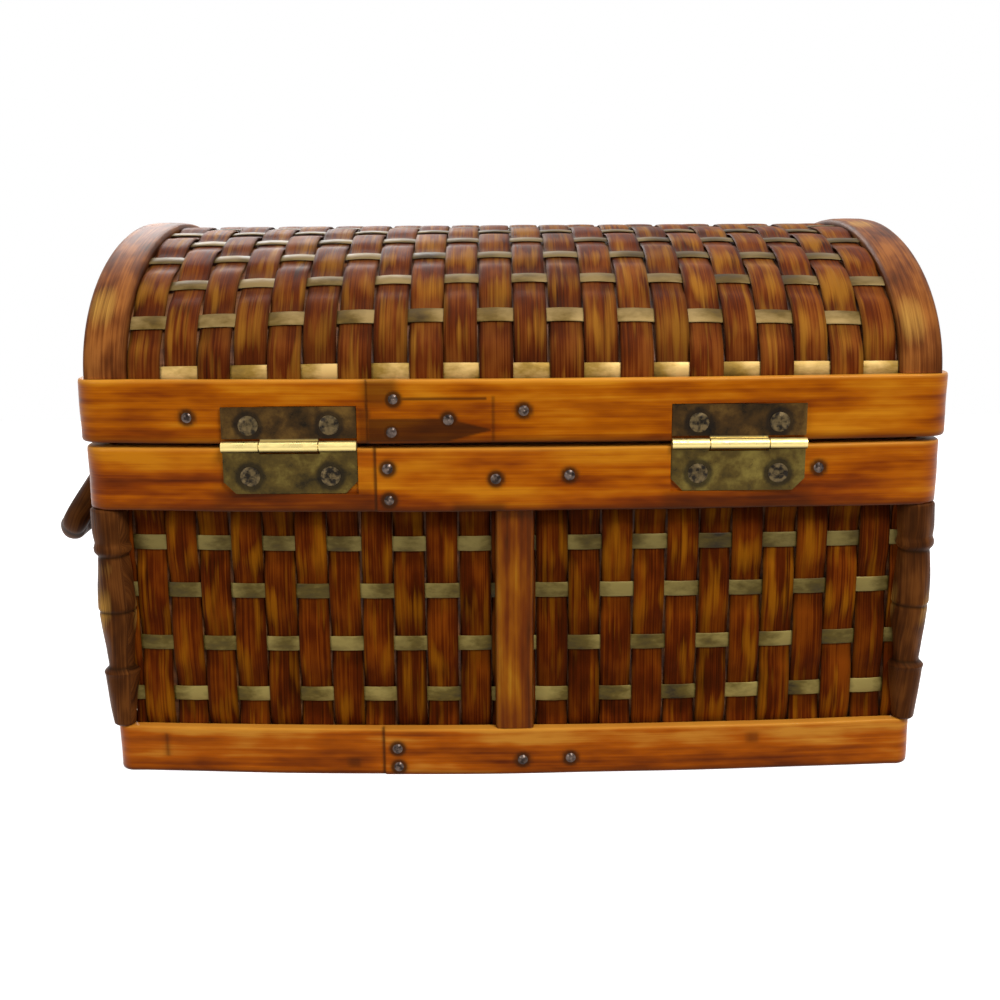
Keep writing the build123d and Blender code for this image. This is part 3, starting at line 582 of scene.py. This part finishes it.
def band_finish(name, deep, dark, middle, light):
    """Amber lacquered bamboo: long streaks, painted shade darkening it low down, a painted highlight along
    the top edge.
    """
    material, tree = new_material(name)
    axes = grain_axes(tree)
    streak = stretched_noise(tree, axes, 120.0, 2.6, 5.0, 0.55)
    broad = stretched_noise(tree, axes, 34.0, 9.0, 3.0, 0.55, 8.1)
    fine = stretched_noise(tree, axes, 24.0, 0.35, 3.0, 0.6, 3.3)
    rise = add(tree, "Attribute", {"attribute_name": "rise"}).outputs["Fac"]
    stain = add(tree, "Attribute", {"attribute_name": "stain"}).outputs["Fac"]
    tone = add(tree, "Math", {"operation": "MULTIPLY_ADD", 0: fine, 1: 0.1, 2: -0.13})
    # The rise share lightens the band towards its top: painted light from above.
    for part, share in ((streak, 0.5), (broad, 0.65), (rise, 0.16)):
        tone = add(tree, "Math", {"operation": "MULTIPLY_ADD", 0: part, 1: share, 2: tone})
    colour = add(tree, "ValToRGB",
                 {"stops": ((0.38, deep), (0.49, dark), (0.6, middle), (0.73, light)), 0: tone})
    # Painted highlight E09A38 along the top edge, and painted shade 3A1404 along the lower edge (low).
    top_edge_highlight = add(tree, "MapRange", {"From Min": 0.93, "From Max": 0.985, "To Max": 0.6, "Value": rise})
    low = add(tree, "MapRange", {"From Min": 0.15, "From Max": 0.0, "To Max": 0.75, "Value": rise})
    for share, over in ((top_edge_highlight, "E09A38"), (low, "3A1404"), (stain, "1C0C04")):
        colour = add(tree, "Mix", {"data_type": "RGBA", 0: share, 6: colour, 7: linear(over)}).outputs[2]
    rough = add(tree, "MapRange",
                {"From Min": 0.3, "From Max": 0.7, "To Min": 0.28, "To Max": 0.45, "Value": streak})
    relief = add(tree, "Math", {"operation": "MULTIPLY_ADD", 0: stain, 1: -0.8, 2: streak})
    bump = add(tree, "Bump", {"Strength": 0.3, "Distance": 0.3 * MM, "Height": relief})
    shader = add(tree, "BsdfPrincipled", {"IOR": 1.3, "Specular Tint": linear("F8A040"), "Coat Weight": 0.06,
                                          "Coat Roughness": 0.18, "Base Color": colour, "Roughness": rough,
                                          "Normal": bump})
    add(tree, "OutputMaterial", {0: shader})
    return material


band_wood = {"lid_rim_band": band_finish("amber_lid_band", "541A02", "8E3E02", "BC6204", "DC8A18"),
             "body_rim_band": band_finish("amber_rim_band", "521802", "883802", "B85C04", "D88414"),
             "base_band": band_finish("amber_foot_band", "5A1E04", "904004", "BC5C08", "DC9030")}

lid_nails = ((92.4, 109.2), (33.9, 114.4), (34.5, 105.0), (18.5, 108.5), (-2.6, 111.0))
rim_nails = ((35.9, 94.6), (35.6, 85.5), (5.3, 91.5), (-15.6, 92.4), (-86.8, 93.5))
base_nails = ((35.3, 8.4), (35.0, 2.6), (-2.2, 4.6), (-16.6, 5.0))


def lid_split(x, z):
    """The dark split in the lid band: a wedge round a line at 105.6, opening over 12 mm from x = 7."""
    wedge = 3.0 * np.clip((x - 7.0) / 12, 0, 1)
    dark = np.exp(-(np.maximum(0, np.abs(z - 105.6) - wedge) / 0.35) ** 2)
    return 0.78 * dark * smooth_box(x, z, 7, 40.7, 100, 112)


lid_marks = (lid_split,
             lambda x, z: 0.6 * smooth_box(x, z, 34.5, 40.8, 114.5, 118.5, 2.2),
             lambda x, z: 0.75 * smooth_box(x, z, 8.0, 32.3, 114.3, 114.6, 0.25),
             lambda x, z: 0.5 * smooth_box(x, z, 41, 43.5, 101, 111, 0.8),
             lambda x, z: 0.45 * smooth_box(x, z, 5.7, 6.1, 102, 114.8, 0.3))
rim_marks = (lambda x, z: 0.65 * smooth_box(x, z, 4.0, 16.0, 82.0, 82.8, 1.8),
             lambda x, z: 0.35 * smooth_box(x, z, 42, 84, 82.5, 87, 2.5),
             lambda x, z: 0.3 * smooth_box(x, z, -84, -44, 82.5, 86, 2.0))
base_marks = (lambda x, z: 0.6 * smooth_box(x, z, 104.8, 105.6, 5.5, 12.0, 0.5),
              lambda x, z: 0.5 * smooth_box(x, z, -72.5, -70.5, 9.5, 11, 1.0),
              lambda x, z: 0.5 * smooth_box(x, z, 47.5, 49.5, 3, 4.5, 1.0))
no_seat = (-9, -5)
band_piece("lacquered_lid_band", "lid_rim_band", "lid", lid_low[2], lid_high[2], 0.0, 0.0, 2.4, 3.1, 41.0,
           (90, 112.45), lid_nails, lid_marks, 1)
band_piece("lacquered_rim_band", "body_rim_band", "body", rim_low[2], rim_high[2], 0.0, 1.3, 6.1, 6.1, 39.0,
           (87.35, 110), rim_nails, rim_marks, 2)
band_piece("lacquered_foot_band", "base_band", "body", 0.0, base_high[2], 3.1, 4.4, 3.0, 3.0, 39.0,
           no_seat, base_nails, base_marks, 3)

# Corner posts and handles are lengths of bamboo root: bulging rods with raised node rings, brown skin
# and tan patches beside the nodes.
def root_rod(name, path, radii, tan, dark, body, nodes_for, seed):
    """Rod carried along a path of points, with a radius, tan and dark value at each."""
    ahead = np.gradient(path, axis=0)
    ahead /= np.linalg.norm(ahead, axis=1)[:, None]
    side = np.cross(ahead, (0.31, 0.23, 0.05) if abs(ahead[0][2]) > 0.9 else (0.9, 0.1, 0.05))
    side /= np.linalg.norm(side, axis=1)[:, None]
    up = np.cross(side, ahead)
    turn = np.linspace(0, 2 * math.pi, 41)[None, :-1]
    walk = np.concatenate([[0], np.cumsum(np.linalg.norm(np.diff(path, axis=0), axis=1))])[:, None]
    bumps = 1 + 0.02 * np.sin(3 * turn + walk / 5 + seed) + 0.015 * np.sin(5 * turn - walk / 3)
    r = radii[:, None] * bumps
    beside = (r * np.cos(turn))[..., None] * side[:, None, :]
    above = (r * np.sin(turn))[..., None] * up[:, None, :]
    grain = np.stack([np.broadcast_to(walk, r.shape), r * turn * 0.8, np.full_like(r, seed)], -1)
    spread = np.clip(0.5 + 0.7 * np.sin(turn * 2 + walk / 11 + seed), 0, 1)
    extra = {"tan": (tan[:, None] * spread).ravel(),
             "dark": np.broadcast_to(dark[:, None], r.shape).ravel()}
    shell = closed_shell(path[:, None, :] + beside + above, grain)
    make_piece(name, [shell], root_wood, body, nodes_for, 0.9, extra)


post_x, post_y, post_foot, post_height = 118.1, 82.4, 14.6, 67.4
post_heights = np.array([0.0, 0.5, 7.5, 14.5, 16.0, 17.2, 18.2, 19.5, 25.0, 31.0, 37.5, 44.0,
                         52.2, 53.6, 54.5, 55.6, 57.0, 60.0, 66.9, 67.4])
post_radii = np.array([2.6, 3.2, 4.0, 4.8, 4.9, 5.2, 4.4, 3.7, 4.2, 5.0, 5.5, 5.2, 4.6, 4.9, 5.5,
                       5.5, 5.0, 5.3, 5.3, 4.9])
# Heights up the post of its node rings, and of its tan patches with their strength and reach.
post_rings = (18.6, 36.2, 53.0)
post_tans = ((36.5, 0.9, 7.5), (50, 0.35, 4), (12, 0.25, 4))
z = np.linspace(0, post_height, 150)
rings = sum(np.exp(-((z - h) / 0.55) ** 2) for h in post_rings)
tan = sum(strength * np.exp(-((z - h) / reach) ** 2) for h, strength, reach in post_tans)
radii = np.interp(z, post_heights, post_radii) - 0.35 * rings
for back, sy in (("back", 1), ("front", -1)):
    for side, sx in (("right", 1), ("left", -1)):
        path = np.stack([sx * post_x + 0.15 * np.sin(z / 9 + sx), sy * post_y + 0 * z, post_foot + z], -1)
        root_rod(f"root_post_{back}_{side}", path, radii, tan * (1 if sx > 0 else 0.8),
                 0.85 * np.clip(rings, 0, 1),
                 "body", [f"post_{back}_{side}"], 500 + sx + 3 * sy)

bail_x, bail_z, bail_reach, bail_drop, bail_bend, bail_top = 128.4, 88.0, 45.0, 27.0, 7.0, 3.9


def bail_path(sign, tilt):
    """Centre line of a handle: down one leg, along the grip, up the other, tilted about its pins."""
    arc = np.radians(np.linspace(0, 90, 16))
    corner = bail_reach - bail_bend
    leg = np.linspace(bail_top, bail_bend - bail_drop, 25)[:-1]
    bend_y, bend_z = corner + bail_bend * np.cos(arc), bail_bend - bail_drop - bail_bend * np.sin(arc)
    y = np.concatenate([0 * leg + bail_reach, bend_y, np.linspace(corner, -corner, 90)[1:-1], -bend_y[::-1],
                        0 * leg - bail_reach])
    z = np.concatenate([leg, bend_z, np.full(88, -bail_drop), bend_z[::-1], leg[::-1]])
    lean = math.radians(tilt)
    return np.stack([sign * (bail_x - z * math.sin(lean)), y, bail_z + z * math.cos(lean)], -1)


for side, sign, tilt in (("right", 1, 34.0), ("left", -1, 0.0)):
    path = bail_path(sign, tilt)
    walk = np.concatenate([[0], np.cumsum(np.linalg.norm(np.diff(path, axis=0), axis=1))])
    last = walk[-1]
    ends = np.sqrt(np.clip(1 - (1 - np.clip(np.minimum(walk, last - walk) / 4.0, 0, 1)) ** 2, 0.004, 1))
    places = last * np.array([0.2, 0.36, 0.5, 0.66, 0.8])
    rings = sum(np.exp(-((walk - p) / 0.7) ** 2) for p in places)
    swell = sum(np.exp(-((walk - p - 2.2) / 2.0) ** 2) for p in places)
    radii = (3.95 - 0.25 * rings + 0.25 * np.clip(swell, 0, 1)) * ends
    tan = 0.9 * np.clip(sum(np.exp(-((walk - p) / 5) ** 2) for p in places[1:4]), 0, 1)
    root_rod(f"root_handle_{side}", path, radii, tan, 0.8 * np.clip(rings, 0, 1) + 0.25, f"{side}_bail",
             [f"handle_{side}"], 600 + sign)

# Batten over the joint of the two woven halves, a plain amber strip with painted shade along its edges.
batten_half, batten_back = 5.7, 86.7
z = np.linspace(14.7, 81.9, 70)[:, None]
a = np.array([-1, -0.96, -0.85, -0.5, 0, 0.5, 0.85, 0.96, 1, 1, -1])
b = np.array([1.4, 2.2, 2.75, 2.95, 3.0, 2.95, 2.75, 2.2, 1.4, 0.05, 0.05])
x = 0.15 * np.sin(z / 19) + a * batten_half
y = batten_back + b + 0 * z - 0.12 * (1 + np.sin(z / 7 + a * 2))
grain = np.stack([z + 0 * x, 0 * z + a * batten_half, 0 * x + 4], -1)
# Lower rise and a dark stain value at the edges are painted shade where the batten meets the slats.
rise, stain = 0 * x + 0.45 - 0.25 * (np.abs(a) > 0.9), 0.75 * np.abs(a) ** 10 + 0 * x
make_piece("amber_batten", [closed_shell(np.stack([x, y, z + 0 * x], -1), grain)],
           band_finish("amber_batten", "3A1404", "6E2E06", "9C560C", "C88A20"), "body", ["centre_batten"],
           0.9, {"rise": rise.ravel(), "stain": stain.ravel()})

# Hinges of thick dull brass: a dark patina ring round every screw, small dents, and a painted highlight
# along the rolled barrel. Leaves, pins and cross-slot screws are the CAD's own shapes, with soft edges.
screw_x, lid_screw_z, body_screw_z, barrel_z = 11.4, 107.1, 92.5, 101.6


def hinge_finish(name, screw_z, dark, middle, light):
    """Aged brass for one leaf; screw_z places the rings that folding |x| makes at all four screws."""
    material, tree = new_material(name)
    solid = add(tree, "TexCoord").outputs["Object"]
    place = add(tree, "SeparateXYZ", {0: solid})
    fold = add(tree, "Math", {"operation": "ABSOLUTE", 0: place.outputs[0]})
    fold = add(tree, "Math", {"operation": "SUBTRACT", 0: fold, 1: hinge_x * MM})
    fold = add(tree, "Math", {"operation": "ABSOLUTE", 0: fold})
    folded = add(tree, "CombineXYZ", {0: fold, 2: place.outputs[2]})
    screw = (screw_x * MM, 0, screw_z * MM)
    reach = add(tree, "VectorMath", {"operation": "DISTANCE", 0: folded, 1: screw}).outputs["Value"]
    noise = add(tree, "TexNoise", {"Scale": 260.0, "Detail": 4.0, "Roughness": 0.65, "Vector": solid})
    cloud = add(tree, "TexNoise", {"Scale": 90.0, "Detail": 2.0, "Vector": solid})
    tone = add(tree, "Math", {"operation": "MULTIPLY", 0: cloud, 1: 0.6})
    tone = add(tree, "Math", {"operation": "MULTIPLY_ADD", 0: noise, 1: 0.5, 2: tone})
    colour = add(tree, "ValToRGB", {"stops": ((0.4, dark), (0.56, middle), (0.72, light)), 0: tone})
    wobble = add(tree, "Math", {"operation": "MULTIPLY_ADD", 0: noise, 1: 0.9 * MM, 2: reach})
    halo = add(tree, "MapRange",
               {"From Min": 5.2 * MM, "From Max": 4.2 * MM, "To Max": 0.7, "Value": wobble})
    # A painted highlight, bright yellow-white, along the rolled barrel.
    level = add(tree, "Math", {"operation": "SUBTRACT", 0: place.outputs[2], 1: barrel_z * MM})
    level = add(tree, "Math", {"operation": "ABSOLUTE", 0: level})
    barrel_highlight = add(tree, "MapRange", {"From Min": 1.7 * MM, "From Max": 0.9 * MM, "To Max": 0.8, "Value": level})
    for share, over in ((halo, "0E0A06"), (barrel_highlight, "F4DC90")):
        colour = add(tree, "Mix", {"data_type": "RGBA", 0: share, 6: colour, 7: linear(over)}).outputs[2]
    rough = add(tree, "MapRange",
                {"From Min": 0.35, "From Max": 0.65, "To Min": 0.26, "To Max": 0.46, "Value": noise})
    relief = add(tree, "Math", {"operation": "ADD", 0: noise, 1: cloud})
    bump = add(tree, "Bump", {"Strength": 0.25, "Distance": 0.3 * MM, "Height": relief})
    shader = add(tree, "BsdfPrincipled",
                 {"Metallic": 0.85, "Base Color": colour, "Roughness": rough, "Normal": bump})
    add(tree, "OutputMaterial", {0: shader})
    return material


def metal_finish(name, dark, light, metallic, rough):
    """Small worn metal parts, mottled between two colours."""
    material, tree = new_material(name)
    solid = add(tree, "TexCoord").outputs["Object"]
    mottle = add(tree, "TexNoise", {"Scale": 700.0, "Detail": 3.0, "Vector": solid})
    colour = add(tree, "ValToRGB", {"stops": ((0.4, dark), (0.6, light)), 0: mottle})
    shader = add(tree, "BsdfPrincipled", {"Metallic": metallic, "Roughness": rough, "Base Color": colour})
    add(tree, "OutputMaterial", {0: shader})
    return material


def soften(node, material, width):
    """A CAD node kept as it is, with edges bevelled by width mm and a material."""
    piece = nodes[node]
    bevel = piece.modifiers.new("soft_edges", "BEVEL")
    bevel.width = width * MM
    bevel.segments = 2
    bevel.limit_method = "ANGLE"
    bevel.angle_limit = math.radians(35)
    piece.data.materials.clear()
    piece.data.materials.append(material)


upper_brass = hinge_finish("aged_brass_upper", lid_screw_z, "181004", "3C280C", "5E441A")
lower_brass = hinge_finish("aged_brass_lower", body_screw_z, "221A08", "4A3A14", "70602A")
for side in ("left", "right"):
    soften(f"lid_leaf_{side}", upper_brass, 0.25)
    soften(f"body_leaf_{side}", lower_brass, 0.25)
    soften(f"hinge_pin_{side}", lower_brass, 0.1)
screw_brass = metal_finish("worn_screw", "1C150C", "5C4C30", 0.8, 0.36)
soften("lid_hinge_screws", screw_brass, 0.15)
soften("body_hinge_screws", screw_brass, 0.15)

# Iron nails, domed and dark, driven through the bands.
iron = metal_finish("dark_iron", "241A16", "5E5048", 0.8, 0.3)
for node in ("lid_nails", "body_rim_nails", "base_nails", "handle_pins_left", "handle_pins_right"):
    soften(node, iron, 0.2)

# Boards of thin plain wood line the woven walls, the floor and the lid, and carry the weave. They
# are bare and dull, with the grain along x.
def plain_wood(name, stretch, detail, stops, bump_strength, gloss):
    """Bare or rubbed wood: noise through a ramp of colours, with stretch cells per metre in x, y, z."""
    material, tree = new_material(name)
    solid = add(tree, "TexCoord").outputs["Object"]
    place = add(tree, "Mapping", {"Scale": stretch, "Vector": solid})
    fibres = add(tree, "TexNoise", {"Scale": 1.0, "Detail": detail, "Roughness": 0.6, "Vector": place})
    colour = add(tree, "ValToRGB", {"stops": stops, 0: fibres})
    shader = add(tree, "BsdfPrincipled", {"Base Color": colour, **gloss})
    if bump_strength:
        bump = add(tree, "Bump", {"Strength": bump_strength, "Distance": 0.3 * MM, "Height": fibres})
        tree.links.new(bump.outputs[0], shader.inputs["Normal"])
    add(tree, "OutputMaterial", {0: shader})
    return material


board = plain_wood("lining_board", (9.0, 60.0, 160.0), 5.0,
                   ((0.38, "4A2812"), (0.5, "784622"), (0.64, "9C6434")), 0.2, {"Roughness": 0.6})
for node in ("back_liner", "front_liner", "left_liner", "right_liner", "base_board", "dome_liner",
             "end_board_left", "end_board_right", "inner_rim", "lid_inner_rim"):
    soften(node, board, 0.3)

# Lugs of root wood carry the handle pins, and a turned bead of the same wood lifts the lid in front.
lug_wood = plain_wood("lug_wood", (60.0, 60.0, 300.0), 4.0,
                      ((0.38, "2A1206"), (0.52, "562C12"), (0.66, "8A5226")),
                      0, {"Roughness": 0.48, "IOR": 1.25, "Specular Tint": linear("F0A868")})
for node in ("handle_lugs_left", "handle_lugs_right"):
    soften(node, lug_wood, 0.6)

knob_height = 110.8
knob_y = np.linspace(-90.2, -101.4, 60)
knob_marks = np.array([-101.5, -101.2, -100.3, -98.4, -96.0, -94.6, -93.4, -92.6, -92.5, -90.0])
knob_radii = np.array([0.6, 2.4, 4.0, 4.9, 4.0, 2.6, 3.0, 3.9, 1.3, 1.3])
root_rod("root_knob", np.stack([0 * knob_y, knob_y, 0 * knob_y + knob_height], -1),
         np.interp(knob_y, knob_marks, knob_radii), 0 * knob_y + 0.4, 0 * knob_y, "lid", ["lift_knob"],
         700)

# Stage: a sheet of white paper, soft lamps above, behind and in front, and the photograph's camera.
# The paper and the world show white to the camera and in gloss, and throw only a little light back.
def seen_rays(tree):
    """1 for the rays that show the surroundings: camera, glossy and transmission rays."""
    ray = add(tree, "LightPath").outputs
    mirrored = add(tree, "Math",
                   {"operation": "MAXIMUM", 0: ray["Is Glossy Ray"], 1: ray["Is Transmission Ray"]})
    return add(tree, "Math", {"operation": "MAXIMUM", 0: ray["Is Camera Ray"], 1: mirrored})


paper_glow, paper_white, paper_thrown, world_thrown = 0.86, 0.8, 0.28, 0.09
paper_half = 0.6
paper, tree = new_material("white_paper")
glow = add(tree, "Emission", {"Color": (1, 1, 1, 1), "Strength": paper_glow})
face = add(tree, "BsdfDiffuse", {"Color": (paper_white, paper_white, paper_white, 1)})
shown = add(tree, "AddShader", {0: glow, 1: face})
sheet = add(tree, "BsdfDiffuse", {"Color": (paper_thrown, paper_thrown, paper_thrown, 1)})
add(tree, "OutputMaterial", {0: add(tree, "MixShader", {0: seen_rays(tree), 1: sheet, 2: shown})})
mesh = bpy.data.meshes.new("paper_floor")
corners = [(-paper_half, -paper_half, 0), (paper_half, -paper_half, 0), (paper_half, paper_half, 0),
           (-paper_half, paper_half, 0)]
mesh.from_pydata(corners, [], [(0, 1, 2, 3)])
mesh.materials.append(paper)
floor = bpy.data.objects.new("paper_floor", mesh)
bpy.context.scene.collection.objects.link(floor)

world = bpy.data.worlds.new("studio")
world.use_nodes = True
tree = world.node_tree
tree.nodes.clear()
strength = add(tree, "Math", {"operation": "MAXIMUM", 0: seen_rays(tree), 1: world_thrown})
add(tree, "OutputWorld", {0: add(tree, "Background", {"Color": (1, 1, 1, 1), "Strength": strength})})
bpy.context.scene.world = world

for name, place, aim, size, power in (("key_light", (-0.45, 0.85, 1.0), (0, 0.05, 0.08), 0.45, 11.0),
                                      ("fill_light", (0.8, 0.8, 0.5), (0, 0.05, 0.08), 0.5, 3.0),
                                      ("top_light", (0.0, 0.0, 1.1), (0, 0, 0.1), 0.6, 3.2),
                                      ("front_light", (0.35, -1.1, 0.8), (0, 0, 0.08), 0.6, 8.0)):
    data = bpy.data.lights.new(name, "AREA")
    data.size = size
    data.energy = power
    light = bpy.data.objects.new(name, data)
    light.location = place
    away = Vector(place) - Vector(aim)
    light.rotation_euler = away.to_track_quat("Z", "Y").to_euler()
    bpy.context.scene.collection.objects.link(light)

data = bpy.data.cameras.new("photo_camera")
data.lens = 45.0
data.sensor_width = 36.0
data.clip_start = 0.01
camera = bpy.data.objects.new("photo_camera", data)
yaw, pitch, roll = math.radians(179.659), math.radians(-12.65), math.radians(0.374)
turned = (Matrix.Rotation(yaw, 4, "Z") @ Matrix.Rotation(pitch, 4, "X") @ Matrix.Rotation(roll, 4, "Y")
          @ Matrix.Rotation(math.pi / 2, 4, "X"))
camera.rotation_euler = turned.to_euler()
camera.location = (0.00622, 0.4392, 0.1632)
bpy.context.scene.collection.objects.link(camera)
bpy.context.scene.camera = camera
bpy.context.scene.view_settings.view_transform = "Standard"
